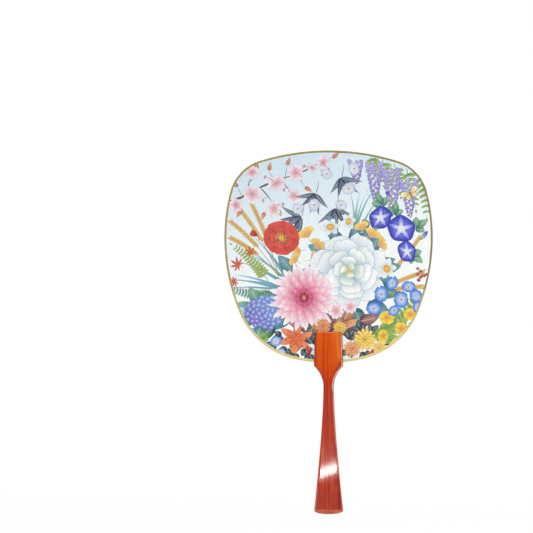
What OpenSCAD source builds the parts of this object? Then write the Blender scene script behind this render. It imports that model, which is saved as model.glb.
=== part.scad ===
// Round paper fan with a bamboo handle. Millimetres.
// The fan stands upright: +Z runs up the handle, +X is to the right of someone who looks at the
// printed front, and the front faces -Y. The origin is on the handle's axis, where the hand holds it.

/* [Face] */
// Width of the face over the rim strip
face_w = 229.2; // [205:0.2:250]
// Height of the face over the rim strip
face_h = 233.4; // [215:0.2:255]
// Height of the widest row above the face's lowest point
widest_h = 138; // [128:0.5:148]
// Radius of the top edge
top_r = 255; // [225:1:300]
// Radius of the two upper corners
upper_corner_r = 48.3; // [40:0.1:56]
// Radius of each side above the widest row
upper_side_r = 195.6; // [175:0.2:225]
// Radius of each side below the widest row
lower_side_r = 214.2; // [190:0.2:245]
// Radius of the two lower corners
lower_corner_r = 86.6; // [76:0.2:96]
// Radius of the bottom edge
bottom_r = 172; // [150:1:200]

/* [Paper and rim] */
// Thickness of each pasted sheet
sheet_t = 0.2; // [0.1:0.05:0.4]
// Thickness of the folded strip on the rim
strip_t = 0.15; // [0.1:0.05:0.3]
// Width of the strip on the front, and on the back
strip_w = 2.2; // [1.5:0.1:4]

/* [Ribs] */
// Number of ribs
rib_count = 37; // [25:2:37]
// Angle between the two outermost ribs, in degrees
spread_angle = 151.2; // [130:0.2:153]
// Width of a rib
rib_w = 1; // [0.6:0.05:1.05]
// Thickness of a rib, and of the root
rib_t = 0.6; // [0.4:0.05:1]
// Radius of the root that gathers the ribs
root_r = 15; // [14.5:0.5:16]
// Depth of the ribs' meeting point under the face's lowest point
meet_drop = 1.8; // [1:0.1:2.4]
// Space between the ribs' ends and the edge of the paper
rib_end_gap = 0.4; // [0.2:0.1:1]

/* [Handle head] */
// Length of the handle, from the top of its head to its lowest point
handle_l = 200.6; // [180:0.2:230]
// Depth of the face in the head
seat_depth = 34; // [26:0.5:36.5]
// Width of the head at its top
head_top_w = 29.8; // [27:0.2:33]
// Width of the head at its shoulders
head_w = 32.2; // [29:0.2:36]
// Length of the head, from its top to its shoulders
head_l = 37.6; // [35.5:0.2:42]
// Thickness of the head and the neck
head_t = 7; // [5:0.1:9]
// Radius of the head's two top corners
head_corner_r = 2; // [1:0.1:4]
// Radius of the hollow shoulders under the head
shoulder_r = 32; // [26:0.5:40]
// Width of the bevel along the front edges
bevel = 0.9; // [0.4:0.1:1.4]
// Depth of the saw cut below the paper's lowest point
cut_room = 0.3; // [0.1:0.1:0.8]

/* [Handle grip] */
// Width of the neck
neck_w = 11.2; // [9:0.1:14]
// Width of the grip at its end
end_w = 32.4; // [26:0.2:38]
// Thickness of the grip at its end
end_t = 10.5; // [8:0.1:13]
// How late the grip widens: 1 is a straight taper
flare = 1.4; // [1:0.05:1.8]
// Height over which the grip bends forward, from its lowest point up
bend_h = 70; // [50:1:85]
// Slope of the grip at its end, in degrees
bend_angle = 28; // [15:1:35]
// Thickness left at the grip's two edges at its end, where its back is round
end_edge_t = 1.4; // [0.8:0.1:3]
// Height of the hand's middle above the handle's lowest point
hold_h = 90; // [88:0.5:110]

/* [Hidden] */
// The handle's heights, from the origin in the hand
end_z = -hold_h;
head_top_z = end_z + handle_l;
shoulder_z = head_top_z - head_l;
face_z = head_top_z - seat_depth;
bend_z = end_z + bend_h;
meet_z = face_z - meet_drop;
rib_pitch = spread_angle / (rib_count - 1);

// The shoulder's hollow runs from the corner of the head until it is upright, at the neck
shoulder_x = neck_w / 2 + shoulder_r;
neck_z = shoulder_z - sqrt(shoulder_r * shoulder_r - pow(shoulder_x - head_w / 2, 2));

// The bend's radius along the middle of the grip, whose end is square to the bend
end_rise = end_t / 2 * sin(bend_angle);
bend_r = (bend_h - end_rise) / sin(bend_angle);

// The face, through its thickness, without and with the rim strip
paper_t = rib_t + 2 * sheet_t;
rim_t = paper_t + 2 * strip_t;

// How far a cutting shape reaches past what it cuts
over = paper_t;

// Angle between two points of an arc, and the counts of the handle's cross sections and points
step_angle = 2.5;
shoulder_rings = 14;
straight_rings = 14;
bend_rings = 16;
corner_rings = 5;
back_points = 6;

function rib_name(i) = str("rib_", i < 10 ? "0" : "", i);

// Points of an arc from angle a to angle b, without the last one
function arc(centre, r, a, b) =
    let (n = max(2, ceil(abs(b - a) / step_angle)))
    [for (i = [0 : n - 1]) centre + r * [cos(a + (b - a) * i / n), sin(a + (b - a) * i / n)]];

// Direction from one point to another
function heading(from, to) = atan2(to[1] - from[1], to[0] - from[0]);

// Centre of the circle of radius r that touches two larger circles from inside
function corner_centre(c1, r1, c2, r2, r, side) =
    let (
        gap = norm(c2 - c1),
        u = (c2 - c1) / gap,
        along = ((r1 - r) * (r1 - r) - (r2 - r) * (r2 - r) + gap * gap) / (2 * gap),
        off = sqrt((r1 - r) * (r1 - r) - along * along)
    )
    c1 + along * u + side * off * [-u[1], u[0]];

// The face's outline is a chain of arcs that run smoothly into each other: the top edge, an upper
// corner, the side above and below the widest row, a lower corner and the bottom edge
top_c = [0, face_z + face_h - top_r];
upper_side_c = [face_w / 2 - upper_side_r, face_z + widest_h];
lower_side_c = [face_w / 2 - lower_side_r, face_z + widest_h];
bottom_c = [0, face_z + bottom_r];
upper_corner_c = corner_centre(top_c, top_r, upper_side_c, upper_side_r, upper_corner_r, -1);
lower_corner_c = corner_centre(bottom_c, bottom_r, lower_side_c, lower_side_r, lower_corner_r, 1);

// The right half of the outline from the top, moved inwards by inset
function right_half(inset) =
    let (
        a1 = heading(top_c, upper_corner_c),
        a2 = heading(upper_side_c, upper_corner_c),
        a3 = heading(lower_side_c, lower_corner_c),
        a4 = heading(bottom_c, lower_corner_c)
    )
    concat(
        arc(top_c, top_r - inset, 90, a1),
        arc(upper_corner_c, upper_corner_r - inset, a1, a2),
        arc(upper_side_c, upper_side_r - inset, a2, 0),
        arc(lower_side_c, lower_side_r - inset, 0, a3),
        arc(lower_corner_c, lower_corner_r - inset, a3, a4),
        arc(bottom_c, bottom_r - inset, a4, -90)
    );

module face_outline(inset = 0) {
    right = right_half(inset);
    n = len(right);
    left = [for (i = [n - 1 : -1 : 1]) [-right[i][0], right[i][1]]];
    polygon(concat(right, [[0, face_z + inset]], left));
}

// A flat drawing in X and Z, given the thickness t and centred on the height y of its middle
module upright(t, y = 0) {
    translate([0, y + t / 2, 0])
        rotate([90, 0, 0])
            linear_extrude(t)
                children();
}

module front_sheet() {
    color("aliceblue")
        upright(sheet_t, -(rib_t + sheet_t) / 2)
            face_outline(strip_t);
}

module back_sheet() {
    color("ivory")
        upright(sheet_t, (rib_t + sheet_t) / 2)
            face_outline(strip_t);
}

// The handle's head, drawn flat: the strip and the saw cut are fitted to it
module head_outline() {
    polygon([
        [-head_top_w / 2, head_top_z],
        [head_top_w / 2, head_top_z],
        [head_w / 2, shoulder_z],
        [-head_w / 2, shoulder_z]
    ]);
}

// The strip is folded over the edge of both sheets and stops at the two sides of the head
module rim_strip() {
    color("goldenrod")
        difference() {
            upright(rim_t)
                face_outline();
            upright(rim_t + over)
                face_outline(strip_w);
            upright(paper_t)
                face_outline(strip_t);
            upright(rim_t + over)
                head_outline();
        }
}

// The root and the ribs keep clear of the paper's edge
module rib_limit() {
    upright(rib_t)
        face_outline(strip_t + rib_end_gap);
}

module root_disc(t) {
    translate([0, 0, meet_z])
        rotate([90, 0, 0])
            cylinder(h = t, r = root_r, center = true);
}

module rib_root() {
    color("burlywood")
        intersection() {
            rib_limit();
            root_disc(rib_t + over);
        }
}

// Rib number i, counted from the left: a flat splint that leans out from the meeting point
module rib(i) {
    lean = (i - (rib_count + 1) / 2) * rib_pitch;
    color("wheat")
        difference() {
            intersection() {
                rib_limit();
                translate([0, 0, meet_z])
                    rotate([0, lean, 0])
                        translate([-rib_w / 2, -rib_t / 2 - over, 0])
                            cube([rib_w, rib_t + 2 * over, face_h + meet_drop]);
            }
            root_disc(rib_t + over);
        }
}

// Half of the handle's width, as seen from the front at height z
function half_width(z) =
    z > head_top_z - head_corner_r
        ? head_side(z) - head_corner_r
            + sqrt(head_corner_r * head_corner_r - pow(z - head_top_z + head_corner_r, 2))
    : z > shoulder_z ? head_side(z)
    : z > neck_z ? shoulder_x - sqrt(shoulder_r * shoulder_r - pow(z - neck_z, 2))
    : (neck_w + (end_w - neck_w) * pow(grip_share(z), flare)) / 2;

function head_side(z) = (head_w + (head_top_w - head_w) * (z - shoulder_z) / head_l) / 2;

// How far a point of the handle is on the way from the neck to the end: 0 at the neck and above
function grip_share(z) = max(0, (neck_z - z) / (neck_z - end_z));

// The middle of the handle's thickness at height z: straight down, then an arc towards the front
function slope_at(z) = z > bend_z ? 0 : asin((bend_z - z) / bend_r);
function middle_y(z) = -bend_r * (1 - cos(slope_at(z)));

// One cross section, square to the handle's middle line. The front is flat between two bevels. The
// back is flat with rounded edges on the head, and a half ellipse from edge to edge at the end
function section(z) =
    let (
        share = grip_share(z),
        w = half_width(z),
        t = head_t + (end_t - head_t) * share,
        edge_t = head_t - 2 * bevel + (end_edge_t - head_t + 2 * bevel) * share,
        front_y = -t / 2,
        side_y = front_y + bevel,
        back_y = side_y + edge_t,
        flat = (w - bevel) * (1 - share),
        front = [[-w, side_y], [-w + bevel, front_y], [w - bevel, front_y], [w, side_y]],
        right = [for (i = [0 : back_points])
            [
                flat + (w - flat) * cos(90 * i / back_points),
                back_y + (t / 2 - back_y) * sin(90 * i / back_points)
            ]],
        left = [for (i = [back_points : -1 : 0]) [-right[i][0], right[i][1]]]
    )
    concat(front, right, left);

// A cross section put in its place on the bent middle line
function placed(z) =
    let (a = slope_at(z))
    [for (p = section(z)) [p[0], middle_y(z) + p[1] * cos(a), z - p[1] * sin(a)]];

// Heights of the cross sections, from the top of the head to the end
function heights() = concat(
    [for (i = [0 : corner_rings - 1])
        head_top_z - head_corner_r * (1 - cos(90 * i / corner_rings))],
    [head_top_z - head_corner_r],
    [for (i = [0 : shoulder_rings]) shoulder_z + (neck_z - shoulder_z) * i / shoulder_rings],
    [for (i = [1 : straight_rings]) neck_z + (bend_z - neck_z) * i / straight_rings],
    [for (i = [1 : bend_rings]) bend_z - bend_r * sin(bend_angle * i / bend_rings)]
);

module handle_blank() {
    rings = [for (z = heights()) placed(z)];
    n = len(rings[0]);
    last = len(rings) - 1;
    polyhedron(
        points = [for (ring = rings) for (p = ring) p],
        faces = concat(
            [[for (j = [0 : n - 1]) j]],
            [for (i = [0 : last - 1]) for (j = [0 : n - 1])
                [i * n + j, (i + 1) * n + j, (i + 1) * n + (j + 1) % n]],
            [for (i = [0 : last - 1]) for (j = [0 : n - 1])
                [i * n + j, (i + 1) * n + (j + 1) % n, i * n + (j + 1) % n]],
            [[for (j = [n - 1 : -1 : 0]) last * n + j]]
        )
    );
}

module handle() {
    cut_z = face_z - cut_room;
    color("sienna")
        difference() {
            handle_blank();
            translate([-head_w, -paper_t / 2, cut_z])
                cube([2 * head_w, paper_t, head_top_z - cut_z + over]);
        }
}

handle();
front_sheet();
back_sheet();
rim_strip();
rib_root();
for (i = [1 : rib_count])
    rib(i);
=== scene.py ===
import math
import bmesh
import bpy
import numpy as np
from mathutils.geometry import delaunay_2d_cdt
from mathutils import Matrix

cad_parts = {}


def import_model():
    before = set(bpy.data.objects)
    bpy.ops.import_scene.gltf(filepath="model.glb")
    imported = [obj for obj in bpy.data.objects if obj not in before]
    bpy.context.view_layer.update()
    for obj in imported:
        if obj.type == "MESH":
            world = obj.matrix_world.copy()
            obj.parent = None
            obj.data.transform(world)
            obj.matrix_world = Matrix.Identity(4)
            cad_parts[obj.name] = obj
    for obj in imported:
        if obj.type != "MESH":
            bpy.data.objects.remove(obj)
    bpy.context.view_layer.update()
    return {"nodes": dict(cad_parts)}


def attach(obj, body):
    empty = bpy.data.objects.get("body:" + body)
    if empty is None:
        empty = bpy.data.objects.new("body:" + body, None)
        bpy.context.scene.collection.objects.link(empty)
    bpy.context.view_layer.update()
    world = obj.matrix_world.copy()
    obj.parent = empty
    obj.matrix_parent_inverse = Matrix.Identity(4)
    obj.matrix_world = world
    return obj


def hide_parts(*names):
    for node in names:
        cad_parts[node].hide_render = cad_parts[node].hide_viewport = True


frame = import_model()


# Ribs and rib root
# Thirty-seven splints of raw bamboo are split from one flat tongue and spread like rays. Paste holds
# them between the two sheets. Their CAD solids stay, and get their wood here.

mm = 0.001
rib_count = 37
rib_pitch = 4.2
meet_z = 74.8


def seen(red, green, blue):
    """A colour as it looks on the real piece, from 0 to 255, in the linear numbers of a shader."""
    share = np.array([red, green, blue]) / 255
    bright = ((share + 0.055) / 1.055) ** 2.4
    return tuple(np.where(share > 0.04045, bright, share / 12.92).tolist())


class Field:
    """One output socket of a material. Sums with it add Math nodes, and node() adds any other node."""

    def __init__(self, tree, socket):
        self.tree = tree
        self.socket = socket

    def node(self, kind, settings=None, inputs=None, out=0):
        """Adds a node: its settings are set first, then the values or links of its sockets."""
        made = self.tree.nodes.new(kind)
        for name, value in (settings or {}).items():
            if name == "stops":
                stops = made.color_ramp.elements
                stops[0].position = value[0][0]
                stops[1].position = value[-1][0]
                for place, colour in value[1:-1]:
                    stops.new(place)
                for stop, (place, colour) in zip(stops, value):
                    stop.color = (*colour, 1)
            else:
                setattr(made, name, value)
        for name, value in (inputs or {}).items():
            if isinstance(value, Field):
                self.tree.links.new(value.socket, made.inputs[name])
            elif isinstance(value, tuple) and len(made.inputs[name].default_value) == 4:
                made.inputs[name].default_value = (*value, 1)
            else:
                made.inputs[name].default_value = value
        return Field(self.tree, made.outputs[out])

    def math(self, operation, *values):
        """A Math node with these values, in order."""
        return self.node("ShaderNodeMath", {"operation": operation}, dict(enumerate(values)))

    def __add__(self, other):
        return self.math("ADD", self, other)

    def __radd__(self, other):
        return self.math("ADD", other, self)

    def __sub__(self, other):
        return self.math("SUBTRACT", self, other)

    def __rsub__(self, other):
        return self.math("SUBTRACT", other, self)

    def __mul__(self, other):
        return self.math("MULTIPLY", self, other)

    def __rmul__(self, other):
        return self.math("MULTIPLY", other, self)

    def __truediv__(self, other):
        return self.math("DIVIDE", self, other)

    def part(self, axis):
        """One of a vector's three numbers."""
        return self.node("ShaderNodeSeparateXYZ", None, {0: self}, axis)

    def step(self, low, high):
        """0 below low, 1 above high, and a smooth rise between them."""
        settings = {"interpolation_type": "SMOOTHSTEP"}
        return self.node("ShaderNodeMapRange", settings, {"Value": self, 1: low, 2: high})

    def blend(self, first, second):
        """first where this is 0, second where it is 1: two colours."""
        settings = {"data_type": "RGBA"}
        return self.node("ShaderNodeMix", settings, {0: self, 6: first, 7: second}, 2)

    def spot(self, x, y, z):
        """A point made of three numbers."""
        return self.node("ShaderNodeCombineXYZ", None, {0: x, 1: y, 2: z})

    def tinted(self, tint):
        """This colour times another."""
        return self.node("ShaderNodeVectorMath", {"operation": "MULTIPLY"}, {0: self, 1: tint})

    def shaded(self, amount):
        """This colour, made lighter or darker by a factor."""
        return self.tinted(self.spot(amount, amount, amount))

    def noise(self, scale, detail=2.0, rough=0.5):
        """Smooth noise from 0 to 1 about this point, with scale waves in a unit."""
        inputs = {"Vector": self, "Scale": scale, "Detail": detail, "Roughness": rough}
        return self.node("ShaderNodeTexNoise", None, inputs)

    def bump(self, strength, distance):
        """A bent normal, from this height."""
        inputs = {"Strength": strength, "Distance": distance, "Height": self}
        return self.node("ShaderNodeBump", None, inputs)

    def attribute(self, name, out):
        """What the mesh holds under a name: out 0 gives a colour, 1 a vector and 2 a number."""
        return self.node("ShaderNodeAttribute", {"attribute_name": name}, None, out)


def material(name):
    """A new material: its Principled shader, and the place on the object in millimetres."""
    made = bpy.data.materials.new(name)
    made.use_nodes = True
    shader = made.node_tree.nodes["Principled BSDF"]
    place = Field(made.node_tree, None).node("ShaderNodeTexCoord", None, None, 3)
    settings = {"operation": "SCALE"}
    return made, shader, place.node("ShaderNodeVectorMath", settings, {0: place, "Scale": 1 / mm})


def finish(shader, **sockets):
    """Puts values or links on the shader's own sockets, named with _ for a space."""
    for name, value in sockets.items():
        socket = shader.inputs[name.replace("_", " ")]
        if isinstance(value, Field):
            value.tree.links.new(value.socket, socket)
        elif isinstance(value, tuple):
            socket.default_value = (*value, 1)
        else:
            socket.default_value = value


def polar(place):
    """Distance from the point where the ribs meet, and angle to the right of straight up."""
    x = place.part(0)
    up = place.part(2) - meet_z
    away = place.spot(x, up, 0)
    reach = away.node("ShaderNodeVectorMath", {"operation": "LENGTH"}, {0: away}, 1)
    return reach, place.math("ARCTAN2", x, up)


def raw_bamboo():
    """Pale split bamboo: long fibres of two widths that run out from the meeting point."""
    made, shader, place = material("raw_bamboo")
    reach, lean = polar(place)
    fibres = place.spot(lean * 400, place.part(1) * 3, reach * 0.04)
    fine = fibres.noise(1.0, 3.0)
    broad = fibres.noise(0.35)
    colour = fine.blend(seen(232, 212, 164), seen(196, 166, 112)).shaded(0.9 + broad * 0.2)
    bump = fine.bump(0.4, 0.05 * mm)
    finish(shader, Base_Color=colour, Roughness=0.55 + broad * 0.2, Normal=bump)
    return made


def dress(node, finish_of_node):
    """Gives a CAD node its finish through its own slots."""
    for slot in frame["nodes"][node].material_slots:
        slot.material = finish_of_node


bamboo = raw_bamboo()
dress("rib_root", bamboo)
for number in range(1, rib_count + 1):
    dress(f"rib_{number:02d}", bamboo)


# Back sheet
# Plain pearl paper, pasted over the back of the ribs. It dries tight, so each rib shows as a fine
# raised ray, and the paper sinks a little between two rays.


def pearl(place):
    """Pearl paper's colour, roughness and relief.

    A pale blue at the top turns almost white low on the right. Fine grain and flakes of mica lie in
    it. The relief is a ridge over each rib, as wide as the rib, with a hollow between two ribs.
    """
    down = (place.part(0) * 0.25 - place.part(2) + 310).step(-20, 150)
    colour = down.blend(seen(204, 225, 235), seen(243, 247, 247))
    grain = place.noise(0.7, 3.0, 0.7)
    cloud = place.noise(0.05)
    flakes = place.noise(2.0, 1.0).step(0.6, 0.72)
    reach, lean = polar(place)
    half_pitch = math.radians(rib_pitch / 2)
    across = reach * place.math("PINGPONG", lean, half_pitch)
    ridge = 1 - across.step(0.25, 0.95)
    spread = half_pitch * rib_count
    ridge = ridge * (1 - place.math("ABSOLUTE", lean).step(spread - 0.01, spread + 0.01))
    hollow = place.math("COSINE", lean * (math.pi / half_pitch))
    colour = colour.shaded(0.9 + grain * 0.13 + cloud * 0.06 + flakes * 0.05 - ridge * 0.022)
    height = ridge * 0.09 + hollow * 0.05 + grain * 0.035
    return colour, 0.5 - flakes * 0.2 + grain * 0.1, height.bump(0.8, mm)


def plain_paper():
    """Bare pearl paper."""
    made, shader, place = material("plain_paper")
    colour, rough, bump = pearl(place)
    finish(shader, Base_Color=colour, Roughness=rough, Normal=bump, Sheen_Weight=0.15)
    return made


dress("back_sheet", plain_paper())


# Front sheet
# The same pearl paper, printed with garden flowers. The sheet is one mesh, cut along the outline of
# every printed shape, so that each edge of the print stays sharp.

face_w = 229.2
face_h = 233.4
face_z = 76.6
widest_z = face_z + 138
top_r = 255
upper_corner_r = 48.3
upper_side_r = 195.6
lower_side_r = 214.2
lower_corner_r = 86.6
bottom_r = 172
strip_t = 0.15
front_y = -0.5
sheet_t = 0.2
rng = np.random.default_rng(37)


def inner_corner(big_a, radius_a, big_b, radius_b, radius, side):
    """Centre of the circle that touches two larger circles from inside, on one side of their centres."""
    gap = big_b - big_a
    length = np.hypot(*gap)
    u = gap / length
    along = ((radius_a - radius) ** 2 - (radius_b - radius) ** 2 + length**2) / (2 * length)
    off = math.sqrt((radius_a - radius) ** 2 - along**2)
    return big_a + along * u + side * off * np.array([-u[1], u[0]])


def heading(start, goal):
    """Direction from one point to another, in degrees."""
    return math.degrees(math.atan2(goal[1] - start[1], goal[0] - start[0]))


def face_edge(gap=0.0, step=1.5):
    """The face's outline and the directions outwards from it, in x and z.

    Arcs run smoothly into each other: half the bottom edge, lower corner, side, upper corner and half
    the top edge, then the same mirrored. gap leaves out the bottom edge up to that far from the middle.
    """
    top = np.array([0, face_z + face_h - top_r])
    high = np.array([face_w / 2 - upper_side_r, widest_z])
    low = np.array([face_w / 2 - lower_side_r, widest_z])
    bottom = np.array([0, face_z + bottom_r])
    upper = inner_corner(top, top_r, high, upper_side_r, upper_corner_r, -1)
    lower = inner_corner(bottom, bottom_r, low, lower_side_r, lower_corner_r, 1)
    first = math.degrees(math.asin(gap / bottom_r)) - 90
    turns = [first, heading(bottom, lower), heading(low, lower), 0,
             heading(high, upper), heading(top, upper), 90]
    centres = [bottom, lower, low, high, upper, top]
    radii = [bottom_r, lower_corner_r, lower_side_r, upper_side_r, upper_corner_r, top_r]
    points = []
    outwards = []
    for centre, radius, start, stop in zip(centres, radii, turns[:-1], turns[1:]):
        a = np.radians(np.linspace(start, stop, max(3, round((stop - start) / step)) + 1))[:-1]
        out = np.stack([np.cos(a), np.sin(a)], 1)
        points.append(centre + radius * out)
        outwards.append(out)
    points = np.concatenate(points)
    outwards = np.concatenate(outwards)
    mirror = np.array([-1, 1])
    crown = np.array([[0, face_z + face_h]])
    keep = slice(None) if gap else slice(1, None)
    return (np.concatenate([points, crown, (points * mirror)[keep][::-1]]),
            np.concatenate([outwards, [[0, 1]], (outwards * mirror)[keep][::-1]]))


def petal(rise, fall, points, notch=0.0, frill=0.0):
    """Outline in shares of length and half width: the half width is s^rise times (1-s)^fall, over its
    greatest value. notch draws the tip in at its middle, and frill waves the outer half."""
    s = (1 - np.cos(np.linspace(0, np.pi, points))) / 2
    half = s**rise * (1 - s) ** fall
    half = half / half.max()
    s = np.concatenate([s, s[-2:0:-1]])
    v = np.concatenate([-half, half[-2:0:-1]])
    s = s - notch * np.exp(-((v / 0.3) ** 2)) * s**6
    s = s + frill * np.sin(11 * v + 1) * s**4
    return np.stack([s, v], 1)


def disc(points, lobes=0, depth=0.0):
    """Outline of radius 1, with lobes that swell and sink by depth."""
    a = np.linspace(0, 2 * np.pi, points, endpoint=False)
    r = 1 + depth * np.cos(lobes * a)
    return np.stack([r * np.cos(a), r * np.sin(a)], 1)


round_petal = petal(0.8, 0.28, 12)
notched_petal = petal(0.75, 0.28, 14, notch=0.16)
frilled_petal = petal(0.7, 0.26, 24, frill=0.035)
pointed_petal = petal(0.7, 0.75, 11)
lance = petal(0.5, 1.1, 11)
broad_leaf = petal(0.45, 0.85, 12)
blade = petal(0.25, 0.9, 16)
hair_line = petal(0.3, 0.6, 5)
dot = disc(8)
ring = disc(18)

prints = []


def deeper(ink, share):
    """A darker ink: a share of each of its three numbers."""
    return tuple(share * c for c in ink)


def mixed(first, second, share):
    """An ink between two others: (1 - share) * first + share * second."""
    return tuple((1 - share) * np.array(first) + share * np.array(second))


def axes_of(turn, view):
    """The directions along and across a shape, as the two columns of a matrix."""
    a = math.radians(turn)
    axes = np.array([[math.cos(a), -math.sin(a)], [math.sin(a), math.cos(a)]])
    return axes if view is None else view @ axes


def lay(outline, at, turn, long, wide, root, tip=None, edge=None, bend=0.0, ink=1.0, hair=0.5,
        view=None, radial=False, rim=0.3, fade=0.0):
    """Adds one printed shape on top of those before it.

    A point (s, v) of the outline lies at long*s along the direction turn, and at wide*v + long*bend*s*s
    to its left. view is a 2 by 2 matrix that tips a whole flower about its middle. root and tip are the
    inks at s = fade and 1, or at the middle and the border of a radial shape, and edge is a fine contour
    as wide as rim. ink is the share of the paper that it covers, and hair the strength of its streaks.
    """
    axes = axes_of(turn, view)
    tint = rng.uniform(0.9, 1.04)
    inner = outline
    layers = []
    if edge is not None:
        layers.append((outline, edge, edge))
        if radial:
            inner = outline * (1 - rim / long)
        else:
            inner = outline * [1 - 2 * rim / long, 1 - rim / wide] + [rim / long, 0]
    layers.append((inner, root, tip or root))
    seed = rng.uniform(0, 60)
    for shape, low, high in layers:
        s, v = shape.T
        flat = np.stack([long * s, wide * v + long * bend * s * s])
        low = np.clip(np.array(seen(*low)) * tint, 0, 1)
        high = np.clip(np.array(seen(*high)) * tint, 0, 1)
        prints.append({
            "points": np.array(at) + (axes @ flat).T, "at": at, "axes": np.linalg.inv(axes),
            "size": (long, wide, bend), "root": low, "tip": high,
            "make": (ink, hair, seed), "fade": fade, "radial": radial,
        })


def where(at, turn, long, wide, s, v, bend=0.0, view=None):
    """The point (s, v) of a shape, in millimetres on the face."""
    return np.array(at) + axes_of(turn, view) @ np.array([long * s, wide * v + long * bend * s * s])


def toward(at, turn, far, view=None):
    """The point at a distance from another, in the direction turn."""
    return where(at, turn, far, 1, 1, 0, view=view)


def bowed(start, goal, bend):
    """The direction at the start and the length of a shape that bows by bend and ends at the goal."""
    lean = math.atan(bend)
    return heading(start, goal) - math.degrees(lean), math.dist(start, goal) * math.cos(lean)


def line(start, goal, wide, ink_colour, bend=0.0, ink=0.9):
    """A thin stroke that swells in its middle."""
    lay(hair_line, start, *bowed(start, goal, bend), wide / 2, ink_colour, bend=bend, ink=ink, hair=0.0)


def bead(at, size, ink_colour):
    """A small round spot."""
    lay(dot, at, 0, size, size, ink_colour, radial=True, hair=0.0)


def heart(at, size, root, tip=None, view=None, outline=ring):
    """The round middle of a flower."""
    lay(outline, at, 0, size, size, root, tip, radial=True, view=view)


def tipped(turn, share):
    """A flower seen aslant: it is drawn in to a share of its height along the direction turn."""
    a = math.radians(turn)
    axis = np.array([math.cos(a), math.sin(a)])
    return np.eye(2) - (1 - share) * np.outer(axis, axis)


def whorl(at, count, long, wide, outline, root, tip, edge, start, bend=0.0, veins=3, vein=None,
          view=None, jitter=4.0, fade=0.0):
    """A ring of petals round a point, each with its fine veins."""
    for k in range(count):
        turn = start + 360 * k / count + rng.uniform(-jitter, jitter)
        size = long * rng.uniform(0.93, 1.05)
        lay(outline, at, turn, size, wide, root, tip, edge, bend, 1.0, 0.6, view, fade=fade)
        for j in range(veins):
            side = 0.0 if veins == 1 else 1.2 * (j / (veins - 1) - 0.5)
            inner = where(at, turn, size, wide, 0.22, side * 0.5, bend, view)
            outer = where(at, turn, size, wide, 0.8 - 0.25 * abs(side), side * 0.9, bend, view)
            line(inner, outer, 0.035 * wide + 0.12, vein or root, side * 0.08, 0.55)


def stamens(at, count, near, far, thread, pollen, size, view=None):
    """Fine threads round a flower's heart, each with a bead at its end."""
    for k in range(count):
        turn = 360 * k / count + rng.uniform(-8, 8)
        reach = rng.uniform(near, far)
        end = toward(at, turn, reach, view)
        line(at, end, 0.28, thread, rng.uniform(-0.15, 0.15))
        bead(end, size, pollen)


def stem(start, goal, wide, ink_colour, bend, tip=None):
    """A tapering stalk that bows to one side."""
    lay(blade, start, *bowed(start, goal, bend), wide / 2, ink_colour, tip, bend=bend, hair=0.3)


def leaf(at, turn, long, wide, root, tip, vein, bend, pairs, outline=broad_leaf):
    """A leaf with its midrib and pairs of side veins."""
    lay(outline, at, turn, long, wide, root, tip, deeper(root, 0.5), bend, 1.0, 0.8, rim=0.22)
    line(at, where(at, turn, long, wide, 0.94, 0, bend), 0.07 * wide + 0.2, vein, bend)
    for k in range(pairs):
        s = 0.14 + 0.62 * k / pairs
        for side in (-1, 1):
            inner = where(at, turn, long, wide, s, 0, bend)
            outer = where(at, turn, long, wide, s + 0.17, side * 0.74 * (1 - s * 0.55), bend)
            line(inner, outer, 0.02 * wide + 0.14, vein, side * 0.12, 0.6)


def trefoil(at, turn, spread, long, short, wide, root, tip, vein, curl, pairs):
    """Three leaves from one point, the middle one longest."""
    for side in (-1, 0, 1):
        leaf(at, turn + spread * side, short if side else long, wide, root, tip, vein, curl * side, pairs)


def spray(start, goal, bend, pairs, long, wide, root, tip, stalk, spread, taper=0.5):
    """A bowed stalk with leaflets in pairs, smaller towards its end."""
    stem(start, goal, 0.9, stalk, bend)
    turn, reach = bowed(start, goal, bend)
    for k in range(pairs):
        s = 0.15 + 0.82 * k / pairs
        foot = where(start, turn, reach, 1, s, 0, bend)
        along = turn + math.degrees(math.atan(2 * bend * s))
        size = 1 - taper * k / pairs
        for side in (-1, 1):
            lay(pointed_petal, foot, along + side * spread, long * size, wide * size, root, tip,
                deeper(root, 0.75), side * 0.1, rim=0.18)
    lay(pointed_petal, goal, turn + math.degrees(math.atan(2 * bend)), long * (1 - taper),
        wide * (1 - taper), root, tip, rim=0.18)


# Inks, as they look on the paper
cobalt = (44, 48, 178)
sky = (70, 146, 224)
snow = (246, 249, 250)
navy = (40, 52, 84)
slate = (92, 108, 130)
teal = (18, 92, 112)
pine = (12, 64, 62)
grass = (112, 160, 84)
lime = (172, 192, 92)
gold = (240, 200, 44)
ochre = (212, 158, 66)
rust = (158, 78, 58)
plum = (98, 46, 66)
bark = (84, 78, 88)
yellow = (250, 222, 70)
sunny = ((222, 140, 40), (252, 226, 110), (206, 140, 50))
azure = ((214, 236, 253), (36, 116, 226))
crimson = ((150, 24, 28), (226, 72, 54), (132, 20, 24))


def long_grass(at, turns, long, wide, root, tip):
    """Arching blades that fan out from one place."""
    for k, turn in enumerate(turns):
        bend = 0.12 + 0.2 * rng.random()
        side = 1 if turn > 90 else -1
        size = long * rng.uniform(0.78, 1.05)
        foot = np.array(at) + rng.uniform(-3, 3, 2)
        lay(blade, foot, turn - side * 10, size, wide * rng.uniform(0.8, 1.2), root, tip,
            deeper(root, 0.85), side * bend, 0.95, 0.8, rim=0.15)


def cherry(at, size, start, view):
    """Five notched petals, pale with a pink heart, and red stamens."""
    whorl(at, 5, size, size * 0.52, notched_petal, (244, 176, 192), (250, 246, 250), (204, 178, 196),
          start, veins=3, vein=(240, 196, 208), view=view, fade=0.15)
    stamens(at, 11, size * 0.28, size * 0.5, (206, 74, 96), (214, 150, 60), 0.32, view)
    heart(at, size * 0.11, lime, outline=dot)


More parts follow.
